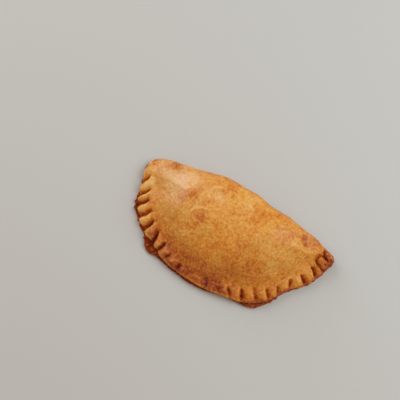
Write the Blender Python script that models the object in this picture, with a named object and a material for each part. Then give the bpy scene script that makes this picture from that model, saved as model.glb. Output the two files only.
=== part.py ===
"""Half-moon meat pasty: a round of dough folded over its filling and sealed with finger crimps.

Lengths are in millimetres and bearings in degrees until the mesh is written, which is in metres.
The long axis is X, the fold is at +Y, the crimped seam runs around -Y, and the flat bottom is z = 0.
"""
import bmesh
import bpy
import numpy as np

MM = 0.001

# Outline from above: half a superellipse on each side of the long axis
HALF_LENGTH = 98.0
AXIS_Y = 19.0
SEAM_DEPTH = 75.3
SEAM_ROUNDNESS = 2.2
FOLD_BOW = 25.5
FOLD_ROUNDNESS = 2.0
RIGHT_CORNER = 8.0
LEFT_CORNER = 172.0
# Bearing, spread and size of each swelling (+) or hollow (-) of the hand-made outline
OUTLINE_SWELLINGS = (
    (5.0, 4.5, 5.0),
    (17.5, 8.0, -2.6),
    (35.0, 20.0, -4.5),
    (135.0, 22.0, 1.5),
    (160.5, 6.5, -3.6),
    (172.0, 4.0, 5.5),
    (190.0, 9.0, -2.0),
    (209.0, 20.0, -1.6),
    (290.0, 12.0, -1.6),
    (311.0, 7.0, -0.7),
    (332.5, 14.0, -10.0),
    (350.0, 7.0, -1.6),
)
OUTLINE_STEPS = 2000

# Filled body: crown, domed top and rounded fold
HEIGHT = 36.0
CROWN_Y = 8.0
SPINE_SHARE = 0.6
DOME_FLATNESS = 3.4
DOME_FILLET = 1.6
SWELLING_DEPTH = 4.0
FOLD_SIDE_HEIGHT = 14.0
FOLD_END_DROP = 0.45
FOLD_SHOULDER = 2.2
FOLD_TUCK = 12.0
CORNER_BLEND = 11.0
SHOULDER_BLEND = 45.0
# Wave length, heading and height of each swell that the filling leaves in the top
SWELLS = (
    (47.0, 20.0, 0.7),
    (38.0, 95.0, 0.5),
    (31.0, 150.0, 0.4),
    (26.0, 60.0, 0.3),
)
SWELLS_START = 8.0
SWELLS_FULL = 25.0

# Sealed rim: two layers of dough pressed together
RIM_WIDTH = 13.0
RIM_LIFT = 1.2
LOWER_LAYER = 2.8
UPPER_LAYER = 3.8
CREASE_HEIGHT = RIM_LIFT + LOWER_LAYER
RIM_HEIGHT = CREASE_HEIGHT + UPPER_LAYER
RIM_FALL = 1.4
EDGE_ROUND = 2.2
LIP = 0.8
# Place along the seam, spread and reach of each tongue (+) of the lower layer past the upper one, or
# bay (-) where it stays behind it
LIP_TONGUES = (
    (30.0, 12.0, -0.8),
    (54.0, 8.0, 1.8),
    (73.0, 8.0, -0.5),
    (94.5, 7.5, 5.0),
    (178.0, 12.0, -1.8),
    (205.5, 11.0, 3.0),
    (223.0, 7.0, 1.0),
)
# Place, spread and amount of each stretch where the upper layer is drawn in behind the lower one
DRAWN_IN = (
    (92.0, 12.0, 2.0),
    (140.0, 32.0, 0.4),
)
# Stretch of the seam where the rim is narrow and the crimps have baked nearly flat
SLACK_PLACE = 147.0
SLACK_SPREAD = 32.0
SLACK_NARROWING = 6.5

# Grooves between the crimps: place along the seam at the edge, share of the full depth, half-width,
# inner end, and how far the place moves on for each millimetre in from the edge
GROOVES = (
    (13.0, 0.20, 5.0, 8.0, -1.0),
    (30.5, 0.90, 8.0, 9.5, -1.2),
    (42.8, 1.00, 7.0, 12.0, -0.45),
    (52.3, 1.00, 6.0, 13.0, -0.1),
    (63.8, 0.95, 6.5, 15.0, 0.12),
    (77.2, 0.95, 7.0, 14.5, 0.0),
    (93.0, 1.00, 6.5, 15.0, -0.3),
    (101.3, 0.85, 5.0, 13.5, 0.1),
    (110.5, 0.50, 5.5, 11.0, 0.35),
    (126.6, 0.45, 4.5, 9.5, 0.0),
    (142.0, 0.12, 5.0, 8.0, 0.0),
    (158.0, 0.30, 4.0, 9.0, 0.0),
    (171.0, 0.40, 4.0, 8.0, 0.0),
    (183.4, 0.70, 5.5, 9.5, -0.5),
    (194.4, 0.92, 6.0, 13.0, -0.2),
    (208.2, 0.64, 7.0, 16.0, -0.25),
    (220.4, 0.64, 6.0, 14.0, -0.25),
    (229.5, 0.62, 5.5, 10.0, 0.2),
    (241.7, 0.68, 6.0, 10.5, 0.5),
    (256.6, 0.78, 6.5, 12.0, 0.35),
    (268.4, 0.95, 6.0, 14.0, 0.75),
)
GROOVE_DEPTH = 4.5
# How much wider a groove's gentle flank is: before it near the left corner, and after it further on
GROOVE_SKEW = (0.4, -0.55)
# Share of a groove's depth at the edge, near the left corner and past it, and where it is at its deepest
GROOVE_AT_EDGE = (1.0, 0.45)
GROOVE_FULL = 5.0
GROOVE_FADE = 4.0
# The long crimps near the left corner hook round at their inner ends
HOOK_REACH = 4.5
HOOK_START = 6.0
HOOK_FULL = 14.0
HOOK_END_PLACE = 150.0
RIDGE_RISE = 2.4
# Where the crimps' ridges have risen to their full height, and where they start and stop to fall again
RIDGE_FULL = 4.5
RIDGE_FALL = (7.0, 16.0)
RIDGE_START_PLACE = 6.0
RIDGE_END_PLACE = 14.0
# Depth of the notches in the upper layer's edge at the grooves: near the left corner, and past it
SCALLOP = (2.4, 0.9)
SCALLOP_ROUNDNESS = 0.7
LEFT_CRIMPS_END = (85.0, 120.0)

# Rolls of dough that close the right corner: middle, half-length, half-width, heading and rise
CORNER_ROLLS = (
    (91.9, 17.0, 7.6, 4.3, -25.0, 2.8),
    (94.4, 25.6, 6.4, 4.0, -30.0, 2.4),
    (97.4, 19.2, 4.2, 2.8, -61.0, 1.6),
)
ROLL_SQUARENESS = 2.3
MOAT_PLACE = 1.2
MOAT_WIDTH = 0.3
MOAT_DEPTH = 1.6

# Mesh: segments around, rings from the top pole to the bottom one, and the shares of each
SEGMENTS = 224
RINGS = 26
FOLD_SHARE = 0.2
DOME_END = 10 / RINGS
RIM_END = 15 / RINGS
UPPER_EDGE_END = 18 / RINGS
LIP_TOP_END = 19 / RINGS
LOWER_EDGE_END = 22 / RINGS
RIM_UNDERSIDE_END = 24 / RINGS

CRUST_COLOUR = (0.50, 0.23, 0.065, 1.0)
CRUST_ROUGHNESS = 0.5


def hump(value, centre, spread):
    """Bell curve of height 1 at the centre."""
    return np.exp(-(((value - centre) / spread) ** 2))


def progress(value, start, stop):
    """Share of the way from start to stop, held at 0 before it and 1 after it."""
    return np.clip((value - start) / (stop - start), 0.0, 1.0)


def ease(value, start, stop):
    """As progress, with a smooth start and stop."""
    share = progress(value, start, stop)
    return share * share * (3.0 - 2.0 * share)


def mix(first, second, share):
    """From first at a share of 0 to second at a share of 1."""
    return first + (second - first) * share


def round_edge(share, low, high):
    """Inset and height of a rounded edge, from its top over its nose to its underside."""
    turn = np.pi * (0.5 - share)
    return EDGE_ROUND * (1.0 - np.cos(turn)), mix(low, high, 0.5 + 0.5 * np.sin(turn))


def outline_point(bearing, swelling=1.0):
    """Edge of the pasty from above, at a bearing from the middle of the long axis."""
    turn = np.radians(bearing)
    on_fold = np.sin(turn) > 0.0
    depth = np.where(on_fold, FOLD_BOW, SEAM_DEPTH)
    power = np.where(on_fold, FOLD_ROUNDNESS, SEAM_ROUNDNESS)
    across = np.abs(np.cos(turn) / HALF_LENGTH) ** power
    along = np.abs(np.sin(turn) / depth) ** power
    radius = (across + along) ** (-1.0 / power)
    for centre, spread, size in OUTLINE_SWELLINGS:
        away = (bearing - centre + 180.0) % 360.0 - 180.0
        radius = radius + swelling * size * hump(away, 0.0, spread)
    return radius * np.cos(turn), AXIS_Y + radius * np.sin(turn)


def walk(start, stop):
    """Bearings from start to stop, and the distance walked along the outline to each."""
    bearings = np.linspace(start, stop, OUTLINE_STEPS)
    x, y = outline_point(bearings)
    steps = np.hypot(np.diff(x), np.diff(y))
    return bearings, np.concatenate(([0.0], np.cumsum(steps)))


def stations(around):
    """Bearing, place along the seam and distance into the seam, for shares of a turn."""
    fold_bearings, fold_walk = walk(RIGHT_CORNER, LEFT_CORNER)
    seam_bearings, seam_walk = walk(LEFT_CORNER, 360.0 + RIGHT_CORNER)
    on_fold = around < FOLD_SHARE
    along_fold = progress(around, 0.0, FOLD_SHARE) * fold_walk[-1]
    along_seam = progress(around, FOLD_SHARE, 1.0) * seam_walk[-1]
    fold_bearing = np.interp(along_fold, fold_walk, fold_bearings)
    seam_bearing = np.interp(along_seam, seam_walk, seam_bearings)
    bearing = np.where(on_fold, fold_bearing, seam_bearing)
    before_left = along_fold - fold_walk[-1]
    past_right = along_fold + seam_walk[-1]
    place_on_fold = np.where(along_fold > fold_walk[-1] / 2.0, before_left, past_right)
    place = np.where(on_fold, place_on_fold, along_seam)
    into_seam = np.minimum(place, seam_walk[-1] - place)
    return bearing, place, into_seam


def groove_press(place, from_edge, past_left):
    """How far each spot is pressed into the grooves between the crimps."""
    at_edge = mix(*GROOVE_AT_EDGE, past_left)
    hook = HOOK_REACH * ease(from_edge, HOOK_START, HOOK_FULL) * (1.0 - ease(place, 0.0, HOOK_END_PLACE))
    skew = mix(*GROOVE_SKEW, past_left)
    pressed = np.zeros_like(place)
    for groove, depth, half_width, inner_end, slant in GROOVES:
        past = place + hook - slant * from_edge - groove
        side = 1.0 - progress(np.abs(past), 0.0, half_width * (1.0 - skew * np.sign(past)))
        reach = mix(at_edge, 1.0, ease(from_edge, 0.0, GROOVE_FULL))
        reach = reach * (1.0 - ease(from_edge, inner_end - GROOVE_FADE, inner_end + 1.0))
        pressed = np.maximum(pressed, depth * side * side * reach)
    return pressed


def ridge_height(place, from_edge, into_seam):
    """Share of the full height that the crimps' ridges have at each spot."""
    ridge = ease(from_edge, 0.0, RIDGE_FULL) * (1.0 - ease(from_edge, *RIDGE_FALL))
    ridge = ridge * (1.0 - hump(place, SLACK_PLACE, SLACK_SPREAD))
    return ridge * ease(into_seam, RIDGE_START_PLACE, RIDGE_END_PLACE)


def seam_section(down, place):
    """Outward share, inset and height of the crust on the seam side, from top pole to bottom pole."""
    outward = progress(down, 0.0, DOME_END)
    dome = (1.0 - outward**DOME_FLATNESS) ** DOME_FILLET
    across = progress(down, DOME_END, RIM_END)
    rim_width = RIM_WIDTH - SLACK_NARROWING * hump(place, SLACK_PLACE, SLACK_SPREAD)
    inset = mix(rim_width, EDGE_ROUND, across)
    height = mix(RIM_HEIGHT + RIM_FALL * (1.0 - across**2), HEIGHT, dome)

    upper = progress(down, RIM_END, UPPER_EDGE_END)
    upper_inset, upper_height = round_edge(upper, CREASE_HEIGHT, RIM_HEIGHT)
    on_upper = down > RIM_END
    inset = np.where(on_upper, upper_inset, inset)
    height = np.where(on_upper, upper_height, height)

    lip = LIP + sum(reach * hump(place, centre, spread) for centre, spread, reach in LIP_TONGUES)
    lower = progress(down, LIP_TOP_END, LOWER_EDGE_END)
    lower_inset, lower_height = round_edge(lower, RIM_LIFT, CREASE_HEIGHT)
    lower_inset = lower_inset - lip * progress(down, UPPER_EDGE_END, LIP_TOP_END)
    on_lower = down > UPPER_EDGE_END
    inset = np.where(on_lower, lower_inset, inset)
    height = np.where(on_lower, lower_height, height)

    under = progress(down, LOWER_EDGE_END, RIM_UNDERSIDE_END)
    on_underside = down > LOWER_EDGE_END
    inset = np.where(on_underside, mix(EDGE_ROUND - lip, RIM_WIDTH, under), inset)
    height = np.where(on_underside, RIM_LIFT * (1.0 - ease(under, 0.0, 1.0)), height)
    outward = outward * (1.0 - progress(down, RIM_UNDERSIDE_END, 1.0))
    return outward, inset, height


def fold_section(down, edge_x):
    """Outward share, inset and height of the crust on the fold side, from top pole to bottom pole."""
    side_height = FOLD_SIDE_HEIGHT * (1.0 - FOLD_END_DROP * (edge_x / HALF_LENGTH) ** 2)
    turn = np.pi / 2.0 * (1.0 - progress(down, 0.0, RIM_END))
    outward = np.cos(turn) ** (2.0 / FOLD_SHOULDER)
    height = mix(side_height, HEIGHT, np.sin(turn) ** (2.0 / FOLD_SHOULDER))

    tuck = np.pi / 2.0 * progress(down, RIM_END, LOWER_EDGE_END)
    on_tuck = down > RIM_END
    inset = np.where(on_tuck, FOLD_TUCK * (1.0 - np.cos(tuck)), 0.0)
    height = np.where(on_tuck, side_height * (1.0 - np.sin(tuck)), height)
    outward = np.where(on_tuck, 1.0 - progress(down, LOWER_EDGE_END, 1.0), outward)
    return outward, inset, height


def corner_rolls(x, y):
    """Rise of the rolls of dough at the right corner, with the moats round them."""
    rise = np.zeros_like(x)
    nearest = np.full_like(x, np.inf)
    for centre_x, centre_y, half_length, half_width, heading, height in CORNER_ROLLS:
        turn = np.radians(heading)
        along = (x - centre_x) * np.cos(turn) + (y - centre_y) * np.sin(turn)
        across = (y - centre_y) * np.cos(turn) - (x - centre_x) * np.sin(turn)
        lengthwise = np.abs(along / half_length) ** ROLL_SQUARENESS
        crosswise = np.abs(across / half_width) ** ROLL_SQUARENESS
        reach = (lengthwise + crosswise) ** (1.0 / ROLL_SQUARENESS)
        rise = np.maximum(rise, height * np.sqrt(1.0 - progress(reach, 0.0, 1.0) ** 2))
        nearest = np.minimum(nearest, reach)
    return rise - MOAT_DEPTH * hump(nearest, MOAT_PLACE, MOAT_WIDTH)


def crust_points(around, down):
    """Points of the crust for shares of a turn and shares of the way from top pole to bottom pole."""
    bearing, place, into_seam = stations(around)
    edge_x, edge_y = outline_point(bearing)
    even_x, even_y = outline_point(bearing, swelling=0.0)
    spine_x = (SPINE_SHARE - 1.0) * edge_x
    spine_y = CROWN_Y - edge_y
    spine = np.hypot(spine_x, spine_y)

    def plan(outward, inset):
        swelling = outward**SWELLING_DEPTH
        inner_x = mix(even_x, edge_x, swelling) + inset * spine_x / spine
        inner_y = mix(even_y, edge_y, swelling) + inset * spine_y / spine
        return inner_x * outward, mix(CROWN_Y, inner_y, outward)

    top = 1.0 - ease(down, RIM_END, UPPER_EDGE_END)
    outward, inset, seam_z = seam_section(down, place)
    from_edge = inset + (1.0 - outward) * spine
    past_left = ease(place, *LEFT_CRIMPS_END)
    pressed = groove_press(place, from_edge, past_left)
    ridge = ridge_height(place, from_edge, into_seam) * (1.0 - pressed) * (down < UPPER_EDGE_END)
    squeeze = GROOVE_DEPTH * np.minimum(seam_z / RIM_HEIGHT, 1.0)
    seam_z = seam_z + RIDGE_RISE * ridge - squeeze * pressed
    drawn_in = sum(amount * hump(place, centre, spread) for centre, spread, amount in DRAWN_IN)
    upper_layer = 1.0 - ease(down, UPPER_EDGE_END, LIP_TOP_END)
    drawn_in = (drawn_in + mix(*SCALLOP, past_left) * pressed**SCALLOP_ROUNDNESS) * upper_layer
    seam_x, seam_y = plan(outward, inset + drawn_in * (1.0 - progress(inset, 0.0, RIM_WIDTH)))

    outward, inset, fold_z = fold_section(down, edge_x)
    fold_x, fold_y = plan(outward, inset)

    blend = mix(SHOULDER_BLEND, CORNER_BLEND, ease(down, DOME_END / 2.0, RIM_END))
    folded = 1.0 - ease(into_seam, -blend, blend)
    x = mix(seam_x, fold_x, folded)
    y = mix(seam_y, fold_y, folded)
    z = mix(seam_z, fold_z, folded)
    crown = ease(z, SWELLS_START, SWELLS_FULL) * (down < RIM_END)
    for length, heading, height in SWELLS:
        turn = np.radians(heading)
        phase = (x * np.cos(turn) + y * np.sin(turn)) * 2.0 * np.pi / length
        z = z + crown * height * np.sin(phase + heading)
    z = z + top * corner_rolls(x, y)
    return np.stack((x, y, z), axis=1)


def crust_material():
    """Matt golden-brown baked crust."""
    material = bpy.data.materials.new("baked_crust")
    material.use_nodes = True
    shader = material.node_tree.nodes["Principled BSDF"]
    shader.inputs["Base Color"].default_value = CRUST_COLOUR
    shader.inputs["Roughness"].default_value = CRUST_ROUGHNESS
    shader.inputs["Metallic"].default_value = 0.0
    return material


def build_pasty(collection):
    """A ball of dough, pressed into the pasty's form and set down on the middle of its base."""
    mesh = bpy.data.meshes.new("pasty")
    ball = bmesh.new()
    bmesh.ops.create_uvsphere(ball, u_segments=SEGMENTS, v_segments=RINGS, radius=1.0)
    directions = np.array([vertex.co for vertex in ball.verts])
    around = np.arctan2(directions[:, 1], directions[:, 0]) / (2.0 * np.pi) % 1.0
    down = np.arccos(np.clip(directions[:, 2], -1.0, 1.0)) / np.pi
    points = crust_points(around, down)
    low = points.min(axis=0)
    high = points.max(axis=0)
    origin = np.array(((low[0] + high[0]) / 2.0, (low[1] + high[1]) / 2.0, low[2]))
    for vertex, point in zip(ball.verts, (points - origin) * MM):
        vertex.co = point
    bmesh.ops.triangulate(ball, faces=ball.faces)
    ball.to_mesh(mesh)
    ball.free()
    mesh.shade_smooth()
    mesh.materials.append(crust_material())
    pasty = bpy.data.objects.new("pasty", mesh)
    collection.objects.link(pasty)


def main():
    for old in list(bpy.data.objects):
        bpy.data.objects.remove(old, do_unlink=True)
    collection = bpy.data.collections.new("meat_pasty")
    bpy.context.scene.collection.children.link(collection)
    build_pasty(collection)


main()
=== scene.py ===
"""Baked half-moon meat pasty with finger crimps, dressed over its solid model.

Lengths inside the form functions are millimetres and bearings are degrees; meshes are in metres.
"""

import bpy
import numpy as np
from bpy.props import FloatProperty, FloatVectorProperty, IntProperty, PointerProperty
from mathutils import Matrix, Vector


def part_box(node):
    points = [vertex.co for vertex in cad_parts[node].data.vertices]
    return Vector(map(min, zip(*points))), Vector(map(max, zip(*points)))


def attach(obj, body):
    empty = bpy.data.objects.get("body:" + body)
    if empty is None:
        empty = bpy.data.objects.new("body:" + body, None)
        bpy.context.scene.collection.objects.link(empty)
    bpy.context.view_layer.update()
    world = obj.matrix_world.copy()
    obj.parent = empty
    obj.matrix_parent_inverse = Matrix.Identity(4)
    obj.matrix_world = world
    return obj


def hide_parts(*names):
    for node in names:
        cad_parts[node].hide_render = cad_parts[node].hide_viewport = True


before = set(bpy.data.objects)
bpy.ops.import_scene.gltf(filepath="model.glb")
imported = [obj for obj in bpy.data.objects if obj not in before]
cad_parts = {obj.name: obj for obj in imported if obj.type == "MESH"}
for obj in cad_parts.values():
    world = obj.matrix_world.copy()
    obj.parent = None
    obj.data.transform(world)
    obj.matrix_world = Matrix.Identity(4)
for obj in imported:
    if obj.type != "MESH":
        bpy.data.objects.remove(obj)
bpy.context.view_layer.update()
PASTY_LOW, PASTY_HIGH = (np.array(corner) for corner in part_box("pasty"))

bl_info = {
    "name": "Meat pasty",
    "version": (1, 0, 0),
    "blender": (4, 5, 0),
    "location": "View3D > Sidebar > Pasty",
    "description": "Builds a baked half-moon meat pasty with a crimped rim",
    "category": "Add Mesh",
}

MM = 0.001

# Outline from above: half a superellipse on each side of the long axis
HALF_LENGTH = 98.0
AXIS_Y = 19.0
SEAM_DEPTH = 75.3
SEAM_ROUNDNESS = 2.2
FOLD_BOW = 25.5
FOLD_ROUNDNESS = 2.0
# Bearings of the corners, where the fold meets the seam
RIGHT_CORNER = 8.0
LEFT_CORNER = 172.0
# Bearing, spread and size of each swelling (+) or hollow (-) of the hand-made outline
OUTLINE_SWELLINGS = (
    (5.0, 4.5, 5.0),
    (17.5, 8.0, -2.6),
    (35.0, 20.0, -4.5),
    (135.0, 22.0, 1.5),
    (160.5, 6.5, -3.6),
    (172.0, 4.0, 5.5),
    (190.0, 9.0, -2.0),
    (209.0, 20.0, -1.6),
    (290.0, 12.0, -1.6),
    (311.0, 7.0, -0.7),
    (332.5, 14.0, -10.0),
    (350.0, 7.0, -1.6),
)
OUTLINE_STEPS = 2000

# Filled body: crown, domed top and rounded fold
HEIGHT = 36.0
CROWN_Y = 8.0
SPINE_SHARE = 0.6
DOME_FLATNESS = 3.4
DOME_FILLET = 1.6
SWELLING_DEPTH = 4.0
FOLD_SIDE_HEIGHT = 14.0
FOLD_END_DROP = 0.45
FOLD_SHOULDER = 2.2
FOLD_TUCK = 12.0
# How far into the seam the fold's form blends with it, at the rim and over the dome
CORNER_BLEND = 11.0
SHOULDER_BLEND = 45.0
# Wave length, heading, which also sets the phase, and height of each swell that the filling leaves
# in the top, and the heights between which the swells come in
SWELLS = (
    (47.0, 20.0, 0.7),
    (38.0, 95.0, 0.5),
    (31.0, 150.0, 0.4),
    (26.0, 60.0, 0.3),
)
SWELLS_START = 8.0
SWELLS_FULL = 25.0

# Sealed rim: two layers of dough pressed together
RIM_WIDTH = 13.0
RIM_LIFT = 1.2
LOWER_LAYER = 2.8
UPPER_LAYER = 3.8
CREASE_HEIGHT = RIM_LIFT + LOWER_LAYER
RIM_HEIGHT = CREASE_HEIGHT + UPPER_LAYER
RIM_FALL = 1.4
EDGE_ROUND = 2.2
LIP = 0.8
# Place along the seam, spread and reach of each tongue (+) of the lower layer past the upper one, or
# bay (-) where it stays behind it
LIP_TONGUES = (
    (30.0, 12.0, -0.8),
    (54.0, 8.0, 1.8),
    (73.0, 8.0, -0.5),
    (94.5, 7.5, 5.0),
    (178.0, 12.0, -1.8),
    (205.5, 11.0, 3.0),
    (223.0, 7.0, 1.0),
)
# Place, spread and amount of each stretch where the upper layer is drawn in behind the lower one
DRAWN_IN = (
    (94.5, 13.0, 2.2),
    (134.0, 28.0, 0.9),
)
# Stretch of the seam where the rim is narrow and the crimps have baked nearly flat
SLACK_PLACE = 147.0
SLACK_SPREAD = 32.0
SLACK_NARROWING = 6.5

# Grooves between the crimps: place along the seam at the edge, share of the full depth, half-width,
# inner end, and how far the place moves on for each millimetre in from the edge
GROOVES = (
    (13.0, 0.20, 5.0, 8.0, -1.0),
    (30.5, 0.90, 8.0, 9.5, -1.2),
    (42.8, 1.00, 7.0, 12.0, -0.45),
    (52.3, 1.00, 6.0, 13.0, -0.1),
    (63.8, 0.95, 6.5, 15.0, 0.12),
    (77.2, 0.95, 7.0, 14.5, 0.0),
    (93.0, 1.00, 6.5, 15.0, -0.3),
    (101.3, 0.85, 5.0, 13.5, 0.1),
    (110.5, 0.46, 5.0, 11.0, 0.35),
    (126.6, 0.45, 4.5, 9.5, 0.0),
    (142.0, 0.12, 5.0, 8.0, 0.0),
    (158.0, 0.30, 4.0, 9.0, 0.0),
    (171.0, 0.40, 4.0, 8.0, 0.0),
    (183.4, 0.65, 6.0, 9.5, -0.5),
    (194.4, 0.80, 6.0, 13.0, -0.2),
    (208.2, 0.60, 7.0, 16.0, -0.25),
    (220.4, 0.64, 6.0, 14.0, -0.25),
    (229.5, 0.62, 5.5, 10.0, 0.2),
    (241.7, 0.68, 6.0, 10.5, 0.5),
    (256.6, 0.78, 6.5, 12.0, 0.35),
    (268.4, 0.85, 5.2, 14.0, 0.75),
)
# How much wider a groove's gentle flank is: the one before it near the left corner, and the one after
# it, below 0, further on
GROOVE_SKEW = (0.4, -0.55)
# Share of a groove's depth at the edge, near the left corner and past it, the reach in from the edge
# where it is at its deepest, and the length over which its inner end fades
GROOVE_AT_EDGE = (1.0, 0.45)
GROOVE_FULL = 5.0
GROOVE_FADE = 4.0
# The long crimps near the left corner hook round at their inner ends
HOOK_REACH = 4.5
HOOK_START = 6.0
HOOK_FULL = 14.0
HOOK_END_PLACE = 150.0
# Where the crimps' ridges have risen to their full height, and where they start and stop to fall again
RIDGE_FULL = 4.5
RIDGE_FALL = (7.0, 16.0)
# Distance from a corner over which the ridges begin
RIDGE_PLACES = (6.0, 14.0)
# Depth of the notches in the upper layer's edge at the grooves: near the left corner, and past it
SCALLOP = (2.4, 0.9)
SCALLOP_ROUNDNESS = 0.7
# Stretches of the seam over which the long crimps near the left corner give way to the short ones, and
# over which their paleness fades
LEFT_CRIMPS_END = (85.0, 120.0)
PALE_CRIMPS_END = (78.0, 118.0)

# Rolls of dough that close the right corner: middle, half-length, half-width, heading and rise. They
# are squarish ovals with darkened edges, partly browned and partly painted shade, and a narrow moat runs
# round them
CORNER_ROLLS = (
    (91.9, 17.0, 7.6, 4.3, -25.0, 2.8),
    (94.4, 25.6, 6.4, 4.0, -30.0, 2.4),
    (97.4, 19.2, 4.2, 2.8, -61.0, 1.6),
)
ROLL_SQUARENESS = 2.3
ROLL_EDGE_SPREAD = 0.24
MOAT_PLACE = 1.1
MOAT_WIDTH = 0.16
MOAT_DEPTH = 2.2
# Dents of the rim and the corners: middle, radius and depth
DENTS = (
    (-93.2, 29.4, 2.0, 1.6),
    (-24.9, -49.6, 2.6, 1.3),
    (-22.6, -46.4, 2.2, 0.9),
    (3.9, -48.0, 2.4, 1.4),
    (7.0, -51.7, 1.5, 0.8),
    (16.4, -45.3, 1.8, 0.6),
    (16.7, -50.0, 2.4, 1.2),
    (64.7, 27.9, 2.4, 0.4),
    (68.4, 22.7, 2.4, 0.4),
    (84.0, -5.5, 3.0, 0.7),
    (96.8, 21.8, 1.2, 1.0),
    (97.5, 18.0, 1.2, 1.0),
)
# Blisters that baked into raised arcs: middle, radius, heading and half-span of the arc, rise
BLISTER_ARCS = (
    (-25.5, -6.0, 11.5, 118.0, 40.0, 0.6),
    (-21.0, 22.0, 8.8, 145.0, 70.0, 0.6),
    (6.4, 21.5, 6.3, 40.0, 80.0, 0.5),
)
ARC_WIDTH = 1.2
ARC_FADE = 25.0
# Depth of the hollow inside an arc, as a share of the arc's rise, and its radius as a share of the arc's
HOLLOW_DEPTH = 0.6
HOLLOW_RADIUS = 0.7
# Toasted (+) and paler (-) patches of the top, where the paler ones are painted highlights: middle,
# radius and strength
TOASTED_PATCHES = (
    (-77.5, -9.0, 2.5, 1.2),
    (-68.0, 31.0, 6.0, 0.9),
    (-62.0, -33.6, 3.0, 1.8),
    # Painted highlight: paler patch on the fold's upper side
    (-50.0, 31.0, 8.0, -0.7),
    (-47.5, 8.5, 4.5, 0.9),
    (-40.5, 13.5, 4.5, 1.4),
    (-39.5, 20.5, 4.5, 0.8),
    (-26.7, -4.0, 6.5, 1.3),
    (-26.5, 14.5, 4.0, 0.8),
    # Painted sheen: paler pinkish centre of a blister
    (-20.5, 21.5, 4.5, -0.8),
    (-18.0, 29.8, 3.0, 0.9),
    (15.0, -7.5, 16.0, 0.4),
    (25.5, 23.5, 9.0, 0.8),
    (34.0, -18.0, 10.0, 0.9),
    (64.7, 27.9, 3.0, 1.4),
    (68.4, 22.7, 3.0, 1.2),
    (77.0, 27.0, 7.0, 0.6),
    (84.8, -5.2, 4.0, 1.0),
    (91.0, 4.2, 3.2, 1.0),
)
# Rough, browned end of dough at the right corner: middle and radius
KNOB_MIDDLE = (94.8, 20.5)
KNOB_RADIUS = 8.0
# Patches where the egg wash is thicker (+) or thinner (-), which also pale the crust there as painted
# sheen: middle, radius and strength
GLAZE_AND_SHEEN_PATCHES = (
    (-82.0, 24.0, 9.0, 0.4),
    (-69.0, 30.5, 7.0, -0.8),
    (-58.0, 18.5, 18.0, 1.0),
    (-45.0, 26.0, 32.0, 0.4),
    (-43.5, 13.0, 6.0, -0.8),
    (-20.5, 21.5, 5.0, 0.5),
)
# How brown the rim is at the crimps near the left corner, against 1 for the rest
PALE_CRIMPS = 0.15
# How strongly the ridges past those crimps are paler, as a painted highlight, and glazed, against 1
# near the left corner
FAR_RIDGES = 0.5
# Pale outer tips of those crimps, paler crust with a painted highlight: reach in from the edge, spread, and
# the distance from a corner over which they begin
TIP_REACH = 3.0
TIP_SPREAD = 3.6
TIP_PLACES = (18.0, 36.0)
# Share of a groove's depth at which it is darkened in full, how dark a millimetre of dent and a roll's
# edge are against that, and the most that they come to together. The darkening is partly baked browning
# and partly painted shade in these hollows
GROOVE_DARKENING = 0.6
DENT_DARKENING = 0.4
ROLL_DARKENING = 0.8
DARKENING_LIMIT = 1.2
# How brown the lower layer is past those crimps, against 1 near the left corner. Its darkness is partly
# baked browning and partly painted shade under the upper layer
FAR_LOWER_LAYER = 0.65
# How pale the upper layer's edge is near the right corner, against 1 for the rest, where below 0 is
# browned, and the stretch of the seam where its paleness fades. The paleness is a painted highlight along
# the edge
FAR_NOSE = -0.4
NOSE_PLACES = (182.0, 212.0)
# How brown the fold's underturn is at its foot, against 1 for the base
TUCK_BROWNING = 0.7
# Spread over the section of the painted shade along the crease between the layers, and of the painted
# highlight on the upper layer's edge
CREASE_SPREAD = 0.02
NOSE_SPREAD = 0.036
# Browned skirt of the dome, partly baked browning and partly painted shade on the side away from the
# lamps: reach in from the edge, and the middle and spread of its place
SKIRT_REACH = 30.0
SKIRT_PLACE = 141.0
SKIRT_SPREAD = 62.0

# Parts of the section, as shares of the way from the top pole to the bottom one
DOME_END = 10 / 26
RIM_END = 15 / 26
UPPER_NOSE = 16.5 / 26
UPPER_EDGE_END = 18 / 26
LIP_TOP_END = 19 / 26
LOWER_EDGE_END = 22 / 26
RIM_UNDERSIDE_END = 24 / 26
BASE_RINGS_END = 0.99
# Share of a turn that runs along the fold
FOLD_SHARE = 0.26
# Last share and number of rings of each part of the section below the dome
RING_COUNTS = (
    (RIM_END, 22),
    (UPPER_EDGE_END, 10),
    (LIP_TOP_END, 4),
    (LOWER_EDGE_END, 9),
    (RIM_UNDERSIDE_END, 6),
    (BASE_RINGS_END, 6),
)
# Cells of the noise field along each axis before it repeats
NOISE_CELLS = 48

# Size of each kind of relief, and how strong its noise is where it begins and where it is full. A
# wrinkle lies where its noise passes through 0, and wrinkled patches have a noise of their own
RIPPLE_SIZE = 15.0
BUBBLE_SIZE = 5.5
BUBBLE_RANGE = (0.15, 0.8)
WRINKLE_SIZE = 8.0
WRINKLE_SPREAD = 0.10
WRINKLED_SIZE = 17.0
WRINKLED_RANGE = (-0.1, 0.3)
BUMP_SIZE = 2.3
CRAG_SIZE = 3.0

# Marks of the form that the crust's material reads from the mesh
MARKS = (
    "rim", "skirt", "groove", "crease", "nose", "lower", "tip",
    "ridge", "knob", "fold", "base", "toast", "glaze", "crest",
)
# Noise of the crust's material: size of its features in metres, detail, roughness and seed
GRAINS = {
    "cloud": (0.024, 2.0, 0.5, 1.0),
    "mottle": (0.0075, 3.0, 0.6, 2.0),
    "speck": (0.0028, 2.0, 0.6, 3.0),
    "fine": (0.0012, 2.0, 0.6, 4.0),
    "pores": (0.0006, 2.0, 0.6, 5.0),
    "crag": (0.0035, 2.0, 0.6, 7.0),
}
# Size in metres of the small cells of the skin, and the middle of their distances
PEBBLE_SIZE = 0.0026
PEBBLE_MIDDLE = 0.4
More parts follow.
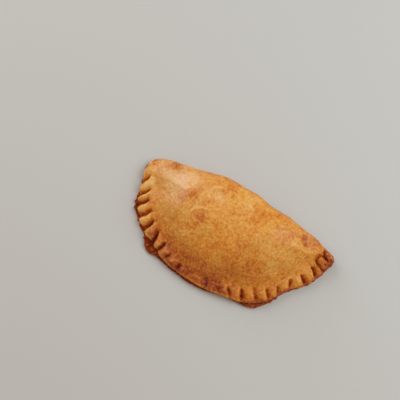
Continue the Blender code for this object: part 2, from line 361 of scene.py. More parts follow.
# Fine ridges that rolling left in the dough, whose paler lines in the glazed patches are painted sheen:
# length, width, heading and seed
STREAKS = (0.006, 0.0011, 74.0, 6.0)
# How brown the crust is where each of its colours lies, from the palest to the darkest
BAKED_COLOURS = (
    (0.0, "straw"),
    (0.36, "golden"),
    (0.55, "toasted"),
    (0.78, "brown"),
    (1.0, "dark"),
)
# How brown the plain crust is, and how much browner or paler each mark and noise makes it
PLAIN_BAKE = 0.33
BROWNING = {
    "cloud": 0.5,
    "mottle": 0.45,
    "speck": 0.52,
    "fine": 0.55,
    "pebble": 0.3,
    "crag": 1.4,
    # Painted sheen: paler streak lines in the glaze
    "streak": -0.25,
    "toast": 0.2,
    "fold": 0.13,
    # Paler blister rims and wrinkles: partly paler crust, partly painted sheen
    "crest": -0.35,
    "rim": 0.13,
    # Darker skirt: partly baked browning, partly painted shade on the side away from the lamps
    "skirt": 0.31,
    # Darker grooves, dents and roll edges: partly browning, partly painted shade
    "groove": 0.31,
    "knob": 0.3,
    # Painted highlight: paler ridges
    "ridge": -0.20,
    # Painted sheen: paler crust under the thicker glaze
    "glaze": -0.06,
    # Darker lower layer: partly baked browning, partly painted shade under the upper layer
    "lower": 0.45,
    # Painted shade: dark line along the crease between the layers
    "crease": 0.25,
    "base": 0.2,
    # Painted highlight: pale line along the upper layer's edge
    "nose": -0.42,
}
# How much of the cream colour, a painted highlight over paler crust, the crimps' tips take, and what
# makes them uneven
TIP_HIGHLIGHT_SHARE = 0.55
TIP_MOTTLING = {"mottle": -1.1, "speck": -0.9}
# What raises or sinks the skin's bumps
BUMPS = {"speck": 0.5, "fine": 0.6, "pores": 0.3, "pebble": -0.35, "streak": 0.8}
# How rough the plain crust is, and what makes it rougher
PLAIN_ROUGHNESS = 0.40
ROUGHENING = {"mottle": 0.3, "speck": 0.3, "rim": 0.15, "lower": 0.3}
# How thick the egg wash is on the plain crust, what thickens it, what makes it uneven, and how dry the
# right corner's end is
PLAIN_WASH = 0.25
WASH = {"glaze": 0.8, "ridge": 0.15}
WASH_UNEVENNESS = {"speck": 0.6, "mottle": 0.6}
KNOB_DRYNESS = 0.7

# Floor, light and picture
FLOOR_SIZE = 6.0
ROOM_COLOUR = (1.0, 0.74, 0.53)
# Each lamp: name, the setting that holds its power, colour, size, compass angle and height angle in
# degrees, distance
LAMPS = (
    ("key_lamp", "key_power", (0.77, 0.94, 1.0), 1.0, 122.0, 44.0, 1.3),
    ("window_lamp", "window_power", (0.84, 0.95, 1.0), 1.4, 247.0, 30.0, 1.5),
)
# Width that the picture spans at the aim, and width of the camera's sensor in millimetres
PICTURE_WIDTH = 0.3792
SENSOR_WIDTH = 36.0


def linear(*screen):
    """Scene-linear colour of an eight-bit screen colour."""
    share = np.array(screen) / 255.0
    low = share / 12.92
    high = ((share + 0.055) / 1.055) ** 2.4
    return tuple(float(part) for part in np.where(share <= 0.04045, low, high))


def hump(value, centre, spread):
    """Bell curve of height 1 at the centre."""
    return np.exp(-(((value - centre) / spread) ** 2))


def progress(value, start, stop):
    """Share of the way from start to stop, held at 0 before it and 1 after it."""
    return np.clip((value - start) / (stop - start), 0.0, 1.0)


def ease(value, start, stop):
    """As progress, with a smooth start and stop."""
    share = progress(value, start, stop)
    return share * share * (3.0 - 2.0 * share)


def mix(first, second, share):
    """From first at a share of 0 to second at a share of 1."""
    return first + (second - first) * share


def noise_field(points, size, seed):
    """Smooth noise of about -1 to 1 at each point, with features of the given size."""
    slopes = np.random.default_rng(seed).normal(size=(NOISE_CELLS, NOISE_CELLS, NOISE_CELLS, 3))
    place = points / size
    cell = np.floor(place).astype(int)
    inside = place - cell
    share = inside * inside * (3.0 - 2.0 * inside)
    total = np.zeros(len(points))
    for corner in np.ndindex(2, 2, 2):
        weight = np.prod(np.where(corner, share, 1.0 - share), axis=1)
        i, j, k = ((cell + corner) % NOISE_CELLS).T
        total += weight * np.sum(slopes[i, j, k] * (inside - corner), axis=1)
    return total


def round_edge(share, low, high):
    """Inset and height of a rounded edge, from its top over its nose to its underside."""
    turn = np.pi * (0.5 - share)
    return EDGE_ROUND * (1.0 - np.cos(turn)), mix(low, high, 0.5 + 0.5 * np.sin(turn))


def outline_point(bearing, swelling=1.0):
    """Edge of the pasty from above, at a bearing from the middle of the long axis."""
    turn = np.radians(bearing)
    on_fold = np.sin(turn) > 0.0
    depth = np.where(on_fold, FOLD_BOW, SEAM_DEPTH)
    power = np.where(on_fold, FOLD_ROUNDNESS, SEAM_ROUNDNESS)
    across = np.abs(np.cos(turn) / HALF_LENGTH) ** power
    along = np.abs(np.sin(turn) / depth) ** power
    radius = (across + along) ** (-1.0 / power)
    for centre, spread, size in OUTLINE_SWELLINGS:
        away = (bearing - centre + 180.0) % 360.0 - 180.0
        radius = radius + swelling * size * hump(away, 0.0, spread)
    return radius * np.cos(turn), AXIS_Y + radius * np.sin(turn)


def walk(start, stop):
    """Bearings from start to stop, and the distance walked along the outline to each."""
    bearings = np.linspace(start, stop, OUTLINE_STEPS)
    x, y = outline_point(bearings)
    steps = np.hypot(np.diff(x), np.diff(y))
    return bearings, np.concatenate(([0.0], np.cumsum(steps)))


def stations(around):
    """Bearing, place along the seam and distance into the seam, for shares of a turn."""
    fold_bearings, fold_walk = walk(RIGHT_CORNER, LEFT_CORNER)
    seam_bearings, seam_walk = walk(LEFT_CORNER, 360.0 + RIGHT_CORNER)
    on_fold = around < FOLD_SHARE
    along_fold = progress(around, 0.0, FOLD_SHARE) * fold_walk[-1]
    along_seam = progress(around, FOLD_SHARE, 1.0) * seam_walk[-1]
    fold_bearing = np.interp(along_fold, fold_walk, fold_bearings)
    seam_bearing = np.interp(along_seam, seam_walk, seam_bearings)
    bearing = np.where(on_fold, fold_bearing, seam_bearing)
    before_left = along_fold - fold_walk[-1]
    past_right = along_fold + seam_walk[-1]
    place_on_fold = np.where(along_fold > fold_walk[-1] / 2.0, before_left, past_right)
    place = np.where(on_fold, place_on_fold, along_seam)
    into_seam = np.minimum(place, seam_walk[-1] - place)
    return bearing, place, into_seam


def groove_press(place, from_edge, past_left):
    """How far each spot is pressed into the grooves between the crimps."""
    at_edge = mix(*GROOVE_AT_EDGE, past_left)
    hook = HOOK_REACH * ease(from_edge, HOOK_START, HOOK_FULL) * (1.0 - ease(place, 0.0, HOOK_END_PLACE))
    skew = mix(*GROOVE_SKEW, past_left)
    pressed = np.zeros_like(place)
    for groove, depth, half_width, inner_end, slant in GROOVES:
        past = place + hook - slant * from_edge - groove
        side = 1.0 - progress(np.abs(past), 0.0, half_width * (1.0 - skew * np.sign(past)))
        reach = mix(at_edge, 1.0, ease(from_edge, 0.0, GROOVE_FULL))
        reach = reach * (1.0 - ease(from_edge, inner_end - GROOVE_FADE, inner_end + 1.0))
        pressed = np.maximum(pressed, depth * side * side * reach)
    return pressed


def ridge_height(place, from_edge, into_seam):
    """Share of the full height that the crimps' ridges have at each spot."""
    ridge = ease(from_edge, 0.0, RIDGE_FULL) * (1.0 - ease(from_edge, *RIDGE_FALL))
    ridge = ridge * (1.0 - hump(place, SLACK_PLACE, SLACK_SPREAD))
    return ridge * ease(into_seam, *RIDGE_PLACES)


def seam_section(down, place):
    """Outward share, inset and height of the crust on the seam side, from top pole to bottom pole."""
    outward = progress(down, 0.0, DOME_END)
    dome = (1.0 - outward**DOME_FLATNESS) ** DOME_FILLET
    across = progress(down, DOME_END, RIM_END)
    rim_width = RIM_WIDTH - SLACK_NARROWING * hump(place, SLACK_PLACE, SLACK_SPREAD)
    inset = mix(rim_width, EDGE_ROUND, across)
    height = mix(RIM_HEIGHT + RIM_FALL * (1.0 - across**2), HEIGHT, dome)

    upper = progress(down, RIM_END, UPPER_EDGE_END)
    upper_inset, upper_height = round_edge(upper, CREASE_HEIGHT, RIM_HEIGHT)
    on_upper = down > RIM_END
    inset = np.where(on_upper, upper_inset, inset)
    height = np.where(on_upper, upper_height, height)

    lip = LIP + sum(reach * hump(place, centre, spread) for centre, spread, reach in LIP_TONGUES)
    lower = progress(down, LIP_TOP_END, LOWER_EDGE_END)
    lower_inset, lower_height = round_edge(lower, RIM_LIFT, CREASE_HEIGHT)
    lower_inset = lower_inset - lip * progress(down, UPPER_EDGE_END, LIP_TOP_END)
    on_lower = down > UPPER_EDGE_END
    inset = np.where(on_lower, lower_inset, inset)
    height = np.where(on_lower, lower_height, height)

    under = progress(down, LOWER_EDGE_END, RIM_UNDERSIDE_END)
    on_underside = down > LOWER_EDGE_END
    inset = np.where(on_underside, mix(EDGE_ROUND - lip, RIM_WIDTH, under), inset)
    height = np.where(on_underside, RIM_LIFT * (1.0 - ease(under, 0.0, 1.0)), height)
    outward = outward * (1.0 - progress(down, RIM_UNDERSIDE_END, 1.0))
    return outward, inset, height


def fold_section(down, edge_x):
    """Outward share, inset and height of the crust on the fold side, from top pole to bottom pole."""
    side_height = FOLD_SIDE_HEIGHT * (1.0 - FOLD_END_DROP * (edge_x / HALF_LENGTH) ** 2)
    turn = np.pi / 2.0 * (1.0 - progress(down, 0.0, RIM_END))
    outward = np.cos(turn) ** (2.0 / FOLD_SHOULDER)
    height = mix(side_height, HEIGHT, np.sin(turn) ** (2.0 / FOLD_SHOULDER))

    tuck = np.pi / 2.0 * progress(down, RIM_END, LOWER_EDGE_END)
    on_tuck = down > RIM_END
    inset = np.where(on_tuck, FOLD_TUCK * (1.0 - np.cos(tuck)), 0.0)
    height = np.where(on_tuck, side_height * (1.0 - np.sin(tuck)), height)
    outward = np.where(on_tuck, 1.0 - progress(down, LOWER_EDGE_END, 1.0), outward)
    return outward, inset, height


def corner_rolls(x, y):
    """Rise of the rolls of dough at the right corner with the moats round them, and their darkened edges,
    partly browned and partly painted shade.
    """
    rise = np.zeros_like(x)
    nearest = np.full_like(x, np.inf)
    for centre_x, centre_y, half_length, half_width, heading, height in CORNER_ROLLS:
        turn = np.radians(heading)
        along = (x - centre_x) * np.cos(turn) + (y - centre_y) * np.sin(turn)
        across = (y - centre_y) * np.cos(turn) - (x - centre_x) * np.sin(turn)
        lengthwise = np.abs(along / half_length) ** ROLL_SQUARENESS
        crosswise = np.abs(across / half_width) ** ROLL_SQUARENESS
        reach = (lengthwise + crosswise) ** (1.0 / ROLL_SQUARENESS)
        rise = np.maximum(rise, height * np.sqrt(1.0 - progress(reach, 0.0, 1.0) ** 2))
        nearest = np.minimum(nearest, reach)
    moat = MOAT_DEPTH * hump(nearest, MOAT_PLACE, MOAT_WIDTH)
    return rise - moat, hump(nearest, 1.0, ROLL_EDGE_SPREAD)


def swell_rise(x, y):
    """Rise of the broad swells that the filling leaves in the top."""
    rise = np.zeros_like(x)
    for length, heading, height in SWELLS:
        turn = np.radians(heading)
        phase = (x * np.cos(turn) + y * np.sin(turn)) * 2.0 * np.pi / length
        rise = rise + height * np.sin(phase + heading)
    return rise


def patches(x, y, table):
    """Sum of round, soft patches, each given by its middle, radius and strength."""
    return sum(strength * hump(np.hypot(x - centre_x, y - centre_y), 0.0, radius)
               for centre_x, centre_y, radius, strength in table)


def blister_arcs(x, y):
    """Rise of the raised arcs of burst blisters, and depth of the hollows inside them."""
    crest = np.zeros_like(x)
    hollow = np.zeros_like(x)
    for centre_x, centre_y, radius, heading, half_span, rise in BLISTER_ARCS:
        reach = np.hypot(x - centre_x, y - centre_y)
        bearing = np.degrees(np.arctan2(y - centre_y, x - centre_x))
        away = np.abs((bearing - heading + 180.0) % 360.0 - 180.0)
        near = 1.0 - ease(away, half_span, half_span + ARC_FADE)
        crest = crest + rise * near * hump(reach, radius, ARC_WIDTH)
        hollow = hollow + HOLLOW_DEPTH * rise * hump(reach, 0.0, HOLLOW_RADIUS * radius)
    return crest, hollow


def crust_form(around, down, sizes):
    """Points of the crust, and where each lies on it, for shares of a turn and of the way down."""
    bearing, place, into_seam = stations(around)
    edge_x, edge_y = outline_point(bearing)
    even_x, even_y = outline_point(bearing, swelling=0.0)
    spine_x = (SPINE_SHARE - 1.0) * edge_x
    spine_y = CROWN_Y - edge_y
    spine = np.hypot(spine_x, spine_y)

    def plan(outward, inset):
        """Place from above of each spot of a section."""
        swelling = outward**SWELLING_DEPTH
        inner_x = mix(even_x, edge_x, swelling) + inset * spine_x / spine
        inner_y = mix(even_y, edge_y, swelling) + inset * spine_y / spine
        return inner_x * outward, mix(CROWN_Y, inner_y, outward)

    top = 1.0 - ease(down, RIM_END, UPPER_EDGE_END)
    outward, inset, seam_z = seam_section(down, place)
    from_edge = inset + (1.0 - outward) * spine
    past_left = ease(place, *LEFT_CRIMPS_END)
    pressed = groove_press(place, from_edge, past_left)
    ridge = ridge_height(place, from_edge, into_seam) * (1.0 - pressed)
    squeeze = sizes.groove_depth / MM * np.minimum(seam_z / RIM_HEIGHT, 1.0)
    seam_z = seam_z + sizes.ridge_rise / MM * ridge * (down < UPPER_EDGE_END) - squeeze * pressed
    drawn_in = sum(amount * hump(place, centre, spread) for centre, spread, amount in DRAWN_IN)
    upper_layer = 1.0 - ease(down, UPPER_EDGE_END, LIP_TOP_END)
    drawn_in = (drawn_in + mix(*SCALLOP, past_left) * pressed**SCALLOP_ROUNDNESS) * upper_layer
    seam_x, seam_y = plan(outward, inset + drawn_in * (1.0 - progress(inset, 0.0, RIM_WIDTH)))

    outward, inset, fold_z = fold_section(down, edge_x)
    fold_x, fold_y = plan(outward, inset)

    blend = mix(SHOULDER_BLEND, CORNER_BLEND, ease(down, DOME_END / 2.0, RIM_END))
    folded = 1.0 - ease(into_seam, -blend, blend)
    x = mix(seam_x, fold_x, folded)
    y = mix(seam_y, fold_y, folded)
    z = mix(seam_z, fold_z, folded)
    crown = ease(z, SWELLS_START, SWELLS_FULL) * (down < RIM_END)
    rolls, roll_edge_darkening = corner_rolls(x, y)
    dent = patches(x, y, DENTS)
    z = z + crown * swell_rise(x, y) + top * (rolls - dent)

    past_pale = ease(place, *PALE_CRIMPS_END)
    seam = (1.0 - folded) * mix(PALE_CRIMPS, 1.0, past_pale)
    groove_darkening = ease(pressed, 0.0, GROOVE_DARKENING)
    browned_tuck = TUCK_BROWNING * folded * ease(down, RIM_END, LOWER_EDGE_END)
    toast = patches(x, y, TOASTED_PATCHES)
    untoasted = 1.0 - np.clip(toast, 0.0, 1.0)
    on_tips = ease(into_seam, *TIP_PLACES) * (1.0 - past_pale) * (1.0 - folded)
    lower_layer = mix(1.0, FAR_LOWER_LAYER, past_left)
    nose_highlight_strength = mix(1.0, FAR_NOSE, ease(place, *NOSE_PLACES))
    # Darker skirt: partly baked browning, partly painted shade on the side away from the lamps
    skirt = hump(from_edge, 0.0, SKIRT_REACH) * hump(place, SKIRT_PLACE, SKIRT_SPREAD)
    marks = {
        "rim": hump(from_edge, 0.0, RIM_WIDTH) * seam,
        "skirt": skirt * (1.0 - folded),
        # Darker grooves, dents and roll edges: partly browning, partly painted shade in the hollows
        "groove": top * np.clip(groove_darkening + DENT_DARKENING * dent + ROLL_DARKENING * roll_edge_darkening, 0.0, DARKENING_LIMIT),
        # Painted shade: a dark line along the crease between the layers
        "crease": hump(down, UPPER_EDGE_END, CREASE_SPREAD) * (1.0 - folded),
        # Painted highlight along the upper layer's edge
        "nose": hump(down, UPPER_NOSE, NOSE_SPREAD) * (1.0 - groove_darkening) * nose_highlight_strength * (1.0 - folded),
        # Lower layer, darkened partly by baking and partly as painted shade under the upper layer
        "lower": ease(down, UPPER_NOSE, UPPER_EDGE_END) * lower_layer * (1.0 - folded),
        # Painted highlight over paler crust on the crimps' tips near the left corner
        "tip": top * hump(from_edge, TIP_REACH, TIP_SPREAD) * (1.0 - groove_darkening) * on_tips * untoasted,
        # The ridge mark pales the ridges as a painted highlight, and thickens their wash
        "ridge": ridge * top * mix(1.0, FAR_RIDGES, past_pale),
        "knob": top * hump(np.hypot(x - KNOB_MIDDLE[0], y - KNOB_MIDDLE[1]), 0.0, KNOB_RADIUS),
        "fold": folded * ease(down, DOME_END / 2.0, RIM_END),
        "base": np.maximum(ease(down, LOWER_EDGE_END, RIM_UNDERSIDE_END), browned_tuck),
        "toast": top * toast,
        # Thicker glaze, which also pales the crust as painted sheen
        "glaze": top * patches(x, y, GLAZE_AND_SHEEN_PATCHES),
        "top": top,
    }
    return np.stack((x, y, z), axis=1), marks


def crust_grid(side):
    """Shares of a turn and of the way down of the crust's points, and the corners of its faces.

    A square grid lies over the dome as a disc, and rings run on from its edge to the base's middle.
    """
    steps = np.linspace(-1.0, 1.0, side + 1)
    u, v = (axis.ravel() for axis in np.meshgrid(steps, steps))
    steep = np.abs(v) > np.abs(u)
    large = np.where(steep, v, u)
    ratio = np.where(steep, -u, v) / np.where(large == 0.0, 1.0, large)
    quarter = 0.25 * steep + 0.5 * (large < 0.0)
    around = (quarter + 0.125 * ratio) % 1.0
    reach = np.abs(large)
    down = reach * DOME_END
    index = np.arange(len(u)).reshape(side + 1, side + 1)
    corners = (index[:-1, :-1], index[:-1, 1:], index[1:, 1:], index[1:, :-1])
    faces = np.stack(corners, axis=-1).reshape(-1, 4).tolist()

    edge = np.flatnonzero(reach == 1.0)
    upper = edge[np.argsort(around[edge])]
    turns = around[upper]
    start = DOME_END
    for stop, count in RING_COUNTS:
        for share in np.linspace(start, stop, count + 1)[1:]:
            lower = np.arange(len(around), len(around) + len(turns))
            around = np.append(around, turns)
            down = np.append(down, np.full(len(turns), share))
            corners = (upper, lower, np.roll(lower, -1), np.roll(upper, -1))
            faces.extend(np.stack(corners, axis=-1).tolist())
            upper = lower
        start = stop
    pole = np.full(len(upper), len(around))
    around = np.append(around, 0.0)
    down = np.append(down, 1.0)
    faces.extend(np.stack((upper, pole, np.roll(upper, -1)), axis=-1).tolist())
    return around, down, faces


def fit_to_solid(points):
    """Points moved and scaled so that their box is the solid's box, in metres."""
    low = points.min(axis=0)
    high = points.max(axis=0)
    return PASTY_LOW + (points - low) / (high - low) * (PASTY_HIGH - PASTY_LOW)


def surface_relief(points, marks, sizes):
    """Height of the dough's ripples, wrinkles and blisters over the plain form, in millimetres."""
    ripple = noise_field(points, RIPPLE_SIZE, 1) * sizes.ripple_height / MM
    bubble = ease(noise_field(points, BUBBLE_SIZE, 2), *BUBBLE_RANGE) * sizes.blister_height / MM
    wrinkle = hump(noise_field(points, WRINKLE_SIZE, 3), 0.0, WRINKLE_SPREAD)
    wrinkled = ease(noise_field(points, WRINKLED_SIZE, 4), *WRINKLED_RANGE)
    wrinkle = wrinkle * wrinkled * sizes.wrinkle_height / MM
    grain = noise_field(points, BUMP_SIZE, 5) * sizes.grain_height / MM
    crest, hollow = blister_arcs(points[:, 0], points[:, 1])
    # Crest pales blister rims and wrinkles, partly as painted sheen
    marks["crest"] = (wrinkle + crest) * marks["top"] * (1.0 - marks["rim"])
    plain = 1.0 - np.clip(marks["groove"], 0.0, 1.0)
    relief = marks["top"] * ((ripple + bubble + wrinkle) * plain + grain + crest - hollow)
    rough = noise_field(points, CRAG_SIZE, 6) * sizes.edge_roughness / MM
    return relief + rough * (marks["lower"] * (1.0 - marks["base"]) + marks["knob"])


class Value:
    """A number of a shader tree: Python's arithmetic on it adds Math nodes."""

    def __init__(self, tree, socket):
        self.tree = tree
        self.socket = socket

    def maths(self, operation, first, second):
        """Result of a new Math node."""
        return self.tree.node("ShaderNodeMath", {"operation": operation}, {0: first, 1: second})

    def __add__(self, other):
        return self.maths("ADD", self, other)

    def __radd__(self, other):
        return self.maths("ADD", other, self)

    def __sub__(self, other):
        return self.maths("SUBTRACT", self, other)

    def __rsub__(self, other):
        return self.maths("SUBTRACT", other, self)

    def __mul__(self, other):
        return self.maths("MULTIPLY", self, other)

    def __rmul__(self, other):
        return self.maths("MULTIPLY", other, self)


class ShaderTree:
    """Node tree of one new material, and its Principled BSDF."""

    def __init__(self, name):
        self.material = bpy.data.materials.new(name)
        self.material.use_nodes = True
        self.nodes = self.material.node_tree.nodes
        self.links = self.material.node_tree.links
        self.shader = self.nodes["Principled BSDF"]

    def fill(self, made, sockets):
        """Sets each named socket of a node, or links a value to it."""
        for key, value in sockets.items():
            if isinstance(value, Value):
                self.links.new(value.socket, made.inputs[key])
            else:
                made.inputs[key].default_value = value

    def node(self, kind, settings, sockets, output=0):
        """Output of a new node, whose settings are made before its sockets are filled."""
        made = self.nodes.new(kind)
        for name, value in settings.items():
            if name == "stops":
                self.set_stops(made.color_ramp.elements, value)
            else:
                setattr(made, name, value)
        self.fill(made, sockets)
        return Value(self, made.outputs[output])

    def set_stops(self, elements, stops):
        """Places and colours of a colour ramp, which starts with two stops."""
        for place, _ in stops[2:]:
            elements.new(place)
        for element, (place, colour) in zip(elements, stops):
            element.position = place
            element.color = (*colour, 1.0)

    def mark(self, name):
        """A number stored on the mesh's points."""
        return self.node("ShaderNodeAttribute", {"attribute_name": name}, {}, output=2)

    def grain(self, size, detail, rough, seed):
        """Noise about 0 over the object's own space, with features of the given size."""
        place = self.node("ShaderNodeTexCoord", {}, {}, output=3)
        sockets = {
            "Vector": place,
            "W": seed,
            "Scale": 1.0 / size,
            "Detail": detail,
            "Roughness": rough,
        }
        return self.node("ShaderNodeTexNoise", {"noise_dimensions": "4D"}, sockets) - 0.5

    def streaks(self, length, width, heading, seed):
        """Noise about 0 drawn out along a heading over the base, in degrees."""
        place = self.node("ShaderNodeTexCoord", {}, {}, output=3)
        sockets = {
            "Vector": place,
            "Rotation": (0.0, 0.0, np.radians(heading)),
            "Scale": (length, width, width),
        }
        place = self.node("ShaderNodeMapping", {"vector_type": "TEXTURE"}, sockets)
        sockets = {"Vector": place, "W": seed, "Scale": 1.0, "Detail": 1.0}
        return self.node("ShaderNodeTexNoise", {"noise_dimensions": "4D"}, sockets) - 0.5

    def pebbles(self, size):
        """Distance from the middle of the nearest of many small cells, as a share of their size."""
        place = self.node("ShaderNodeTexCoord", {}, {}, output=3)
        return self.node("ShaderNodeTexVoronoi", {}, {"Vector": place, "Scale": 1.0 / size})


class PastySizes(bpy.types.PropertyGroup):
    grid: IntProperty(
        name="Grid",
        description="Cells along one side of the grid over the dome",
        default=196,
        min=16,
    )
    groove_depth: FloatProperty(
        name="Groove depth",
        description="Depth of the grooves between the finger crimps",
        default=0.0045,
        unit="LENGTH",
    )
    ridge_rise: FloatProperty(
        name="Ridge rise",
        description="Height of the crimps' ridges over the rim",
        default=0.0024,
        unit="LENGTH",
    )
    ripple_height: FloatProperty(
        name="Ripple height",
        description="Height of the broad ripples of the rolled dough",
        default=0.0006,
        unit="LENGTH",
    )
    blister_height: FloatProperty(
        name="Blister height",
        description="Height of the small blisters raised in the oven",
        default=0.0004,
        unit="LENGTH",
    )
    wrinkle_height: FloatProperty(
        name="Wrinkle height",
        description="Height of the fine wrinkles of the baked skin",
        default=0.0003,
        unit="LENGTH",
    )
    grain_height: FloatProperty(
        name="Grain height",
        description="Height of the finest bumps that are modelled",
        default=0.00012,
        unit="LENGTH",
    )
    edge_roughness: FloatProperty(
        name="Edge roughness",
        description="Unevenness of the lower layer's edge",
        default=0.0014,
        unit="LENGTH",
    )


class PastyColours(bpy.types.PropertyGroup):
    # Painted highlight: this colour is mixed onto the crimps' tips over paler crust
    tip_highlight_cream: FloatVectorProperty(
        name="Cream crust",
        description="Pale outer tips of the crimps near the left corner",
        subtype="COLOR",
        default=linear(250, 196, 118),
    )
    straw: FloatVectorProperty(
        name="Straw crust",
        description="Palest, least baked specks",
        subtype="COLOR",
        default=linear(236, 190, 118),
    )
    golden: FloatVectorProperty(
        name="Golden crust",
        description="Main colour of the baked crust",
        subtype="COLOR",
        default=linear(221, 152, 59),
    )
    toasted: FloatVectorProperty(
        name="Toasted crust",
        description="Orange-brown patches and speckles",
        subtype="COLOR",
        default=linear(209, 122, 36),
    )
    # The brown and dark colours are also reached in the hollows, where they are partly painted shade
    brown: FloatVectorProperty(
        name="Brown rim",
        description="Browned rim and crimp grooves",
        subtype="COLOR",
        default=linear(166, 79, 29),
    )
    dark: FloatVectorProperty(
        name="Dark edge",
        description="Darkest baked parts, such as the edge of the lower layer",
        subtype="COLOR",
        default=linear(121, 40, 6),
    )
    floor: FloatVectorProperty(
        name="Floor",
        description="Plain pale floor",
        subtype="COLOR",
        default=linear(198, 198, 198),
    )


class PastyLight(bpy.types.PropertyGroup):
    camera_distance: FloatProperty(
        name="Camera distance",
        description="Distance from the camera to the floor point at the middle of the picture",
        default=0.74,
        unit="LENGTH",
    )
    camera_azimuth: FloatProperty(
        name="Camera azimuth",
        description="Compass angle of the camera, from the crimped side towards the right corner",
        default=np.radians(28.8),
        subtype="ANGLE",
    )
    camera_elevation: FloatProperty(
        name="Camera elevation",
        description="Angle of the camera above the floor",
        default=np.radians(77.6),
        subtype="ANGLE",
    )
    aim: FloatVectorProperty(
        name="Aim",
        description="Floor point at the middle of the picture",
        default=(-0.0388, 0.0230, 0.0),
        subtype="TRANSLATION",
        unit="LENGTH",
    )
    key_power: FloatProperty(
        name="Key light",
        description="Power of the large soft lamp on the fold side",
        default=9.9,
        unit="POWER",
    )
    window_power: FloatProperty(
        name="Window light",
        description="Power of the low lamp that puts the sheen near the left corner",
        default=12.3,
        unit="POWER",
    )
    room_strength: FloatProperty(
        name="Room light",
        description="Strength of the even light from all around",
        default=0.45,
    )


def crust_material(colours):
    """Egg-washed shortcrust, from straw-coloured specks through golden to the dark lower edge."""
    tree = ShaderTree("baked_crust")
    terms = {name: tree.mark(name) for name in MARKS}
    for name, settings in GRAINS.items():
        terms[name] = tree.grain(*settings)
    terms["pebble"] = tree.pebbles(PEBBLE_SIZE) - PEBBLE_MIDDLE
    terms["crag"] = terms["crag"] * (terms["lower"] + terms["knob"])
    # In the glaze the streaks' paler lines are painted sheen and their bumps are real
    terms["streak"] = terms["glaze"] * tree.streaks(*STREAKS)

    def weigh(shares):
        """Sum of the named marks and noises, each times its share."""
        return sum(share * terms[name] for name, share in shares.items())

    stops = [(bake, getattr(colours, name)) for bake, name in BAKED_COLOURS]
    baked = tree.node("ShaderNodeValToRGB", {"stops": stops}, {"Fac": PLAIN_BAKE + weigh(BROWNING)})
    # Painted highlight: the cream colour goes onto the crimps' tips
    creamy = terms["tip"] * (TIP_HIGHLIGHT_SHARE + weigh(TIP_MOTTLING))
    sockets = {"Factor": creamy, 6: baked, 7: (*colours.tip_highlight_cream, 1.0)}
    colour = tree.node("ShaderNodeMix", {"data_type": "RGBA"}, sockets, output=2)
    sockets = {"Strength": 0.6, "Distance": 0.0006, "Height": weigh(BUMPS)}
    bump = tree.node("ShaderNodeBump", {}, sockets)
    washed = (1.0 - terms["groove"]) * (1.0 - terms["lower"]) * (1.0 - KNOB_DRYNESS * terms["knob"])
    tree.fill(tree.shader, {
        "Base Color": colour,
        "Roughness": PLAIN_ROUGHNESS + weigh(ROUGHENING),
        "Normal": bump,
        "Specular IOR Level": 0.1,
        "Coat Weight": (PLAIN_WASH + weigh(WASH)) * washed * (1.0 + weigh(WASH_UNEVENNESS)),
        "Coat Roughness": 0.5,
        "Coat IOR": 1.85,
    })
    return tree.material


class PASTY_OT_crust(bpy.types.Operator):
    """Build the baked crust over the pasty's solid"""

    bl_idname = "pasty.crust"
    bl_label = "Baked crust"

    def execute(self, context):
        sizes = context.scene.pasty_sizes
        around, down, faces = crust_grid(sizes.grid)
        points, marks = crust_form(around, down, sizes)
        mesh = bpy.data.meshes.new("baked_pasty")
        mesh.from_pydata(fit_to_solid(points), [], faces)
        normals = np.empty(len(points) * 3)
        mesh.vertices.foreach_get("normal", normals)
        relief = surface_relief(points, marks, sizes)
        raised = fit_to_solid(points) + normals.reshape(-1, 3) * relief[:, None] * MM
        raised[:, 2] = np.maximum(raised[:, 2], 0.0)
        mesh.vertices.foreach_set("co", raised.ravel())
        mesh.shade_smooth()
        mesh.update()
        for name, values in marks.items():
            layer = mesh.attributes.new(name, "FLOAT", "POINT")
            layer.data.foreach_set("value", values)
        mesh.materials.append(crust_material(context.scene.pasty_colours))
        crust = bpy.data.objects.new("baked_pasty", mesh)
        context.scene.collection.objects.link(crust)
        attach(crust, "root")
        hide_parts("pasty")
        return {"FINISHED"}


def towards(azimuth, elevation):
    """Direction of a compass angle, from the crimped side towards the right corner, and a height angle."""
    flat = np.cos(elevation)
    return Vector((np.sin(azimuth) * flat, -np.cos(azimuth) * flat, np.sin(elevation)))


def point_at(thing, place, aim):
    """Sets a lamp or camera down at a place, facing the aim."""
    turn = (aim - place).to_track_quat("-Z", "Y")
    thing.matrix_world = Matrix.LocRotScale(place, turn, None)


def add_lamp(context, name, power, colour, size, azimuth, elevation, distance):
    """Adds a round, soft lamp that faces the middle of the floor."""
    lamp = bpy.data.lights.new(name, "AREA")
    lamp.shape = "DISK"
    lamp.size = size
    lamp.energy = power
    lamp.color = colour
    thing = bpy.data.objects.new(name, lamp)
    context.scene.collection.objects.link(thing)
    point_at(thing, towards(np.radians(azimuth), np.radians(elevation)) * distance, Vector())


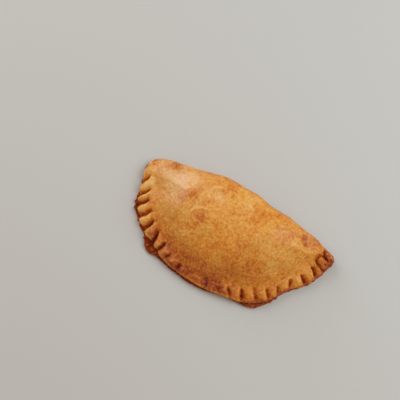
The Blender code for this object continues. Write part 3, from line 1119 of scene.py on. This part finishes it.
class PASTY_OT_stage(bpy.types.Operator):
    """Add the pale floor, the soft studio light and the camera"""

    bl_idname = "pasty.stage"
    bl_label = "Floor, light and camera"

    def execute(self, context):
        light = context.scene.pasty_light
        colours = context.scene.pasty_colours
        bpy.ops.mesh.primitive_plane_add(size=FLOOR_SIZE, location=(0.0, 0.0, 0.0))
        floor = context.object
        floor.name = "floor"
        tree = ShaderTree("pale_floor")
        tree.fill(tree.shader, {"Base Color": (*colours.floor, 1.0), "Roughness": 0.8})
        floor.data.materials.append(tree.material)

        world = bpy.data.worlds.new("room")
        world.use_nodes = True
        background = world.node_tree.nodes["Background"]
        background.inputs["Color"].default_value = (*ROOM_COLOUR, 1.0)
        background.inputs["Strength"].default_value = light.room_strength
        context.scene.world = world

        for name, power, *setting in LAMPS:
            add_lamp(context, name, getattr(light, power), *setting)

        lens = bpy.data.cameras.new("camera")
        lens.sensor_width = SENSOR_WIDTH
        lens.lens = SENSOR_WIDTH * light.camera_distance / PICTURE_WIDTH
        lens.clip_end = FLOOR_SIZE * 4.0
        camera = bpy.data.objects.new("camera", lens)
        context.scene.collection.objects.link(camera)
        aim = Vector(light.aim)
        place = aim + towards(light.camera_azimuth, light.camera_elevation) * light.camera_distance
        point_at(camera, place, aim)
        context.scene.camera = camera
        context.scene.view_settings.view_transform = "Standard"
        return {"FINISHED"}


class PASTY_PT_panel(bpy.types.Panel):
    """Lists the pasty's pieces, sizes and colours"""

    bl_idname = "PASTY_PT_panel"
    bl_label = "Meat pasty"
    bl_space_type = "VIEW_3D"
    bl_region_type = "UI"
    bl_category = "Pasty"

    def draw(self, context):
        layout = self.layout
        for group in (context.scene.pasty_sizes, context.scene.pasty_colours, context.scene.pasty_light):
            for name in group.__annotations__:
                layout.prop(group, name)
        layout.operator(PASTY_OT_crust.bl_idname)
        layout.operator(PASTY_OT_stage.bl_idname)


CLASSES = (PastySizes, PastyColours, PastyLight, PASTY_OT_crust, PASTY_OT_stage, PASTY_PT_panel)


def register():
    for kind in CLASSES:
        bpy.utils.register_class(kind)
    bpy.types.Scene.pasty_sizes = PointerProperty(type=PastySizes)
    bpy.types.Scene.pasty_colours = PointerProperty(type=PastyColours)
    bpy.types.Scene.pasty_light = PointerProperty(type=PastyLight)


def unregister():
    del bpy.types.Scene.pasty_light
    del bpy.types.Scene.pasty_colours
    del bpy.types.Scene.pasty_sizes
    for kind in reversed(CLASSES):
        bpy.utils.unregister_class(kind)


def main():
    register()
    bpy.ops.pasty.crust()
    bpy.ops.pasty.stage()


if __name__ == "__main__":
    main()
